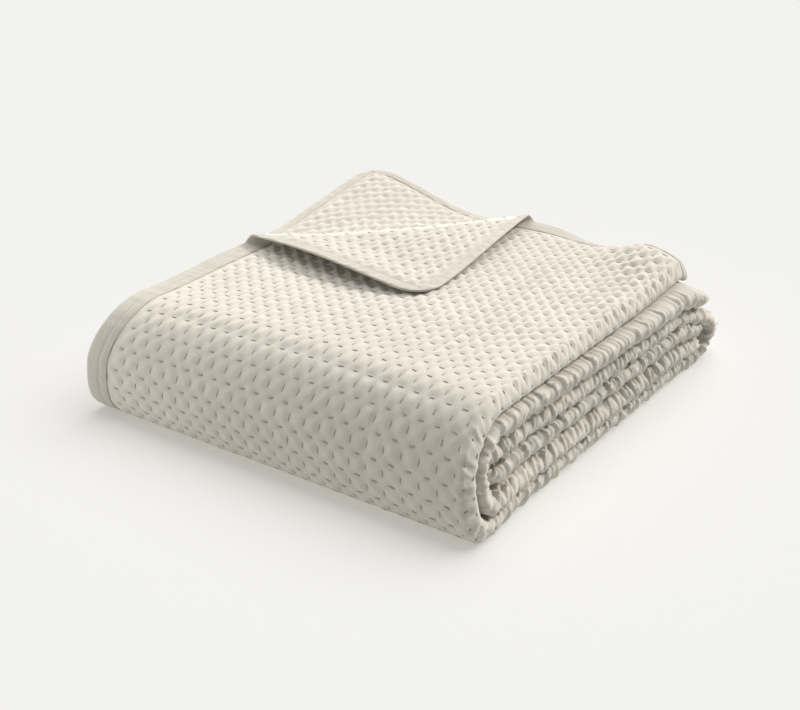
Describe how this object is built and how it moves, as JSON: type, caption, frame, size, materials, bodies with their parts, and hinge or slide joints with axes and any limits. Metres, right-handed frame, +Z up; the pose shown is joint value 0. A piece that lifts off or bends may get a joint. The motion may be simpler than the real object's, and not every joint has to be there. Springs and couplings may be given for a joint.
{
  "type": "folded quilted bedspread",
  "caption": "Quilted linen bedspread, hand stitched and bound round its edge, folded into a flat stack with one corner of the top sheet turned back.",
  "frame": {"origin": "under the middle of the folded bedspread, on the surface it lies on", "axes": "+Z up, +Y from the rounded front fold towards the loose end at the back, +X towards the doubled side folds of the strands"},
  "size_m": [0.455, 0.5092, 0.135],
  "materials": {
    "quilted_linen": "matt woven linen, washed, quilted with slightly darker hand stitches",
    "binding_linen": "matt plain-woven linen strip, machine stitched near its inner border"
  },
  "bodies": {
    "root": {"quilted_cloth": "quilted_linen", "edge_binding": "binding_linen"}
  },
  "joints": []
}
